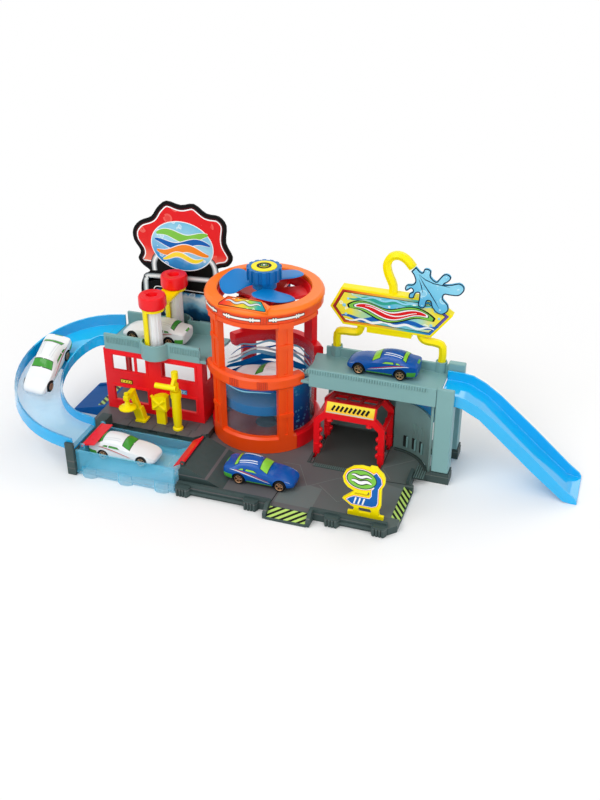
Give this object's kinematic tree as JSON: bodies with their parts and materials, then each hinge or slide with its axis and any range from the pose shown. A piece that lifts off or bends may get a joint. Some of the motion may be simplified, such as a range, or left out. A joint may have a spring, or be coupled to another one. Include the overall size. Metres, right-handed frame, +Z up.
{
  "type": "toy car wash playset",
  "caption": "Toy car wash playset: round lift tower between two decks, tub, tool area, curved track, exit ramp, swinging flaps, turning brushes and small cars.",
  "frame": {"origin": "on the lift tower's axis, at the surface that the tray stands on", "axes": "+X from the curved track towards the straight exit ramp, +Y from the front of the tray to its back, +Z up"},
  "size_m": [0.578, 0.2072, 0.2289],
  "materials": {
    "dark_base": "satin",
    "tub_clear": "clear gloss",
    "red": "gloss",
    "navy": "gloss",
    "deck": "satin",
    "yellow": "gloss",
    "brush": "satin",
    "board": "printed card",
    "orange": "gloss",
    "tank_clear": "clear gloss",
    "lift_blue": "gloss",
    "fan_blue": "gloss",
    "gear_white": "satin",
    "window_blue": "clear gloss",
    "track_blue": "clear gloss",
    "track_pale": "clear gloss",
    "car_white": "gloss",
    "car_blue": "gloss",
    "tyre": "satin"
  },
  "bodies": {
    "playset": {"base_tray": "dark_base", "splash_tub": "tub_clear", "side_ramp": "navy", "building_front_wall": "red", "building_rear_wall": "red", "left_deck": "deck", "backboard": "board", "gate_arch": "yellow", "polisher_stand": "yellow", "pump_unit": "yellow", "dryer_post": "yellow", "upper_track": "track_blue", "lower_track": "track_pale", "tower_front_frame": "orange", "tower_rear_frame": "red", "water_tank": "tank_clear", "crown_ring": "orange", "crown_spider": "red", "right_deck": "deck", "front_pillar": "deck", "rear_pillar": "deck", "wash_bay_wall": "deck", "wash_bay_window": "window_blue", "exit_ramp": "track_blue", "sign_board": "yellow", "splash_plate": "window_blue", "arrow_sign": "yellow"},
    "exit_flap": {"exit_flap": "red"},
    "entry_flap": {"entry_flap": "red"},
    "front_brush": {"front_brush_roller": "brush", "front_brush_knob": "red"},
    "rear_brush": {"rear_brush_roller": "brush", "rear_brush_knob": "red"},
    "polisher_head": {"polisher_head": "yellow"},
    "dryer_arm": {"dryer_arm": "yellow"},
    "lift": {"lift_platform": "lift_blue"},
    "lift_screw": {"lead_screw": "navy"},
    "fan_drive": {"fan_rotor": "fan_blue", "drive_gear": "gear_white", "crank_knob": "fan_blue", "knob_cap": "yellow"},
    "wash_arch": {"wash_arch": "red"},
    "left_deck_car": {"left_deck_car_body": "car_white"},
    "left_deck_car_rear_wheels": {"left_deck_car_rear_wheels": "tyre"},
    "left_deck_car_front_wheels": {"left_deck_car_front_wheels": "tyre"},
    "right_deck_car": {"right_deck_car_body": "car_blue"},
    "right_deck_car_rear_wheels": {"right_deck_car_rear_wheels": "tyre"},
    "right_deck_car_front_wheels": {"right_deck_car_front_wheels": "tyre"},
    "floor_car": {"floor_car_body": "car_blue"},
    "floor_car_rear_wheels": {"floor_car_rear_wheels": "tyre"},
    "floor_car_front_wheels": {"floor_car_front_wheels": "tyre"},
    "tub_car": {"tub_car_body": "car_white"},
    "tub_car_rear_wheels": {"tub_car_rear_wheels": "tyre"},
    "tub_car_front_wheels": {"tub_car_front_wheels": "tyre"},
    "lift_car": {"lift_car_body": "car_white"},
    "lift_car_rear_wheels": {"lift_car_rear_wheels": "tyre"},
    "lift_car_front_wheels": {"lift_car_front_wheels": "tyre"},
    "track_car": {"track_car_body": "car_white"},
    "track_car_rear_wheels": {"track_car_rear_wheels": "tyre"},
    "track_car_front_wheels": {"track_car_front_wheels": "tyre"}
  },
  "joints": [
    {"name": "fan_turn", "type": "hinge", "parent": "playset", "child": "fan_drive", "pos_m": [0, 0, 0.1712], "axis": [0, 0, 1], "range_deg": [-232, 264]},
    {"name": "screw_turn", "type": "hinge", "parent": "playset", "child": "lift_screw", "pos_m": [0, 0.04, 0.1535], "axis": [0, 0, 1], "range_deg": [-680, 598]},
    {"name": "lift_slide", "type": "slide", "parent": "playset", "child": "lift", "axis": [0, 0, 1], "range_m": [-0.03, 0.034]},
    {"name": "front_brush_turn", "type": "hinge", "parent": "playset", "child": "front_brush", "pos_m": [-0.1095, -0.029, 0.091], "axis": [0, 0, 1], "continuous": true},
    {"name": "rear_brush_turn", "type": "hinge", "parent": "playset", "child": "rear_brush", "pos_m": [-0.1095, 0.0235, 0.091], "axis": [0, 0, 1], "continuous": true},
    {"name": "exit_flap_turn", "type": "hinge", "parent": "playset", "child": "exit_flap", "pos_m": [-0.04245, -0.0965, 0.0272], "axis": [0, 1, 0], "range_deg": [0, 75]},
    {"name": "entry_flap_turn", "type": "hinge", "parent": "playset", "child": "entry_flap", "pos_m": [-0.1494, -0.1045, 0.0282], "axis": [0, -1, 0], "range_deg": [0, 60]},
    {"name": "polisher_turn", "type": "hinge", "parent": "playset", "child": "polisher_head", "pos_m": [-0.13237, -0.059, 0.0375], "axis": [0, 0, 1], "continuous": true},
    {"name": "dryer_swing", "type": "hinge", "parent": "playset", "child": "dryer_arm", "pos_m": [-0.08, -0.0505, 0.062], "axis": [0, 0, 1], "range_deg": [-60, 90]},
    {"name": "arch_slide", "type": "slide", "parent": "playset", "child": "wash_arch", "axis": [0, 1, 0], "range_m": [-0.014, 0.016]},
    {"name": "left_deck_car_roll", "type": "slide", "parent": "playset", "child": "left_deck_car", "axis": [-1, 0, 0], "range_m": [-0.01, 0.01]},
    {"name": "left_deck_car_rear_wheels_turn", "type": "hinge", "parent": "left_deck_car", "child": "left_deck_car_rear_wheels", "pos_m": [-0.1005, -0.00275, 0.0971], "axis": [0, -1, 0], "continuous": true},
    {"name": "left_deck_car_front_wheels_turn", "type": "hinge", "parent": "left_deck_car", "child": "left_deck_car_front_wheels", "pos_m": [-0.1425, -0.00275, 0.0971], "axis": [0, -1, 0], "continuous": true},
    {"name": "right_deck_car_roll", "type": "slide", "parent": "playset", "child": "right_deck_car", "axis": [-1, 0, 0], "range_m": [-0.01, 0.01]},
    {"name": "right_deck_car_rear_wheels_turn", "type": "hinge", "parent": "right_deck_car", "child": "right_deck_car_rear_wheels", "pos_m": [0.1425, 0.006, 0.0971], "axis": [0, -1, 0], "continuous": true},
    {"name": "right_deck_car_front_wheels_turn", "type": "hinge", "parent": "right_deck_car", "child": "right_deck_car_front_wheels", "pos_m": [0.1005, 0.006, 0.0971], "axis": [0, -1, 0], "continuous": true},
    {"name": "floor_car_roll", "type": "slide", "parent": "playset", "child": "floor_car", "axis": [1, 0, 0], "range_m": [0, 0.09]},
    {"name": "floor_car_rear_wheels_turn", "type": "hinge", "parent": "floor_car", "child": "floor_car_rear_wheels", "pos_m": [0.0115, -0.0985, 0.0141], "axis": [0, 1, 0], "continuous": true},
    {"name": "floor_car_front_wheels_turn", "type": "hinge", "parent": "floor_car", "child": "floor_car_front_wheels", "pos_m": [0.0535, -0.0985, 0.0141], "axis": [0, 1, 0], "continuous": true},
    {"name": "tub_car_roll", "type": "slide", "parent": "playset", "child": "tub_car", "axis": [1, 0, 0], "range_m": [-0.0005, 0.005]},
    {"name": "tub_car_rear_wheels_turn", "type": "hinge", "parent": "tub_car", "child": "tub_car_rear_wheels", "pos_m": [-0.1325, -0.104, 0.0151], "axis": [0, 1, 0], "continuous": true},
    {"name": "tub_car_front_wheels_turn", "type": "hinge", "parent": "tub_car", "child": "tub_car_front_wheels", "pos_m": [-0.0905, -0.104, 0.0151], "axis": [0, 1, 0], "continuous": true},
    {"name": "lift_car_roll", "type": "slide", "parent": "lift", "child": "lift_car", "axis": [-1, 0, 0], "range_m": [-0.004, 0.004]},
    {"name": "lift_car_rear_wheels_turn", "type": "hinge", "parent": "lift_car", "child": "lift_car_rear_wheels", "pos_m": [0.021, 0, 0.0631], "axis": [0, -1, 0], "continuous": true},
    {"name": "lift_car_front_wheels_turn", "type": "hinge", "parent": "lift_car", "child": "lift_car_front_wheels", "pos_m": [-0.021, 0, 0.0631], "axis": [0, -1, 0], "continuous": true},
    {"name": "track_car_roll", "type": "slide", "parent": "playset", "child": "track_car", "axis": [0.0145, -0.9232, -0.3841], "range_m": [-0.002, 0.002]},
    {"name": "track_car_rear_wheels_turn", "type": "hinge", "parent": "track_car", "child": "track_car_rear_wheels", "pos_m": [-0.22105, -0.04319, 0.07812], "axis": [0.9928, 0.0589, -0.104], "continuous": true},
    {"name": "track_car_front_wheels_turn", "type": "hinge", "parent": "track_car", "child": "track_car_front_wheels", "pos_m": [-0.22044, -0.08196, 0.06199], "axis": [0.9928, 0.0589, -0.104], "continuous": true}
  ],
  "couplings": [
    {"joint": "screw_turn", "follows": "fan_turn", "ratio": -2.5714},
    {"joint": "lift_slide", "follows": "fan_turn", "m_per_rad": 0.0073666}
  ]
}
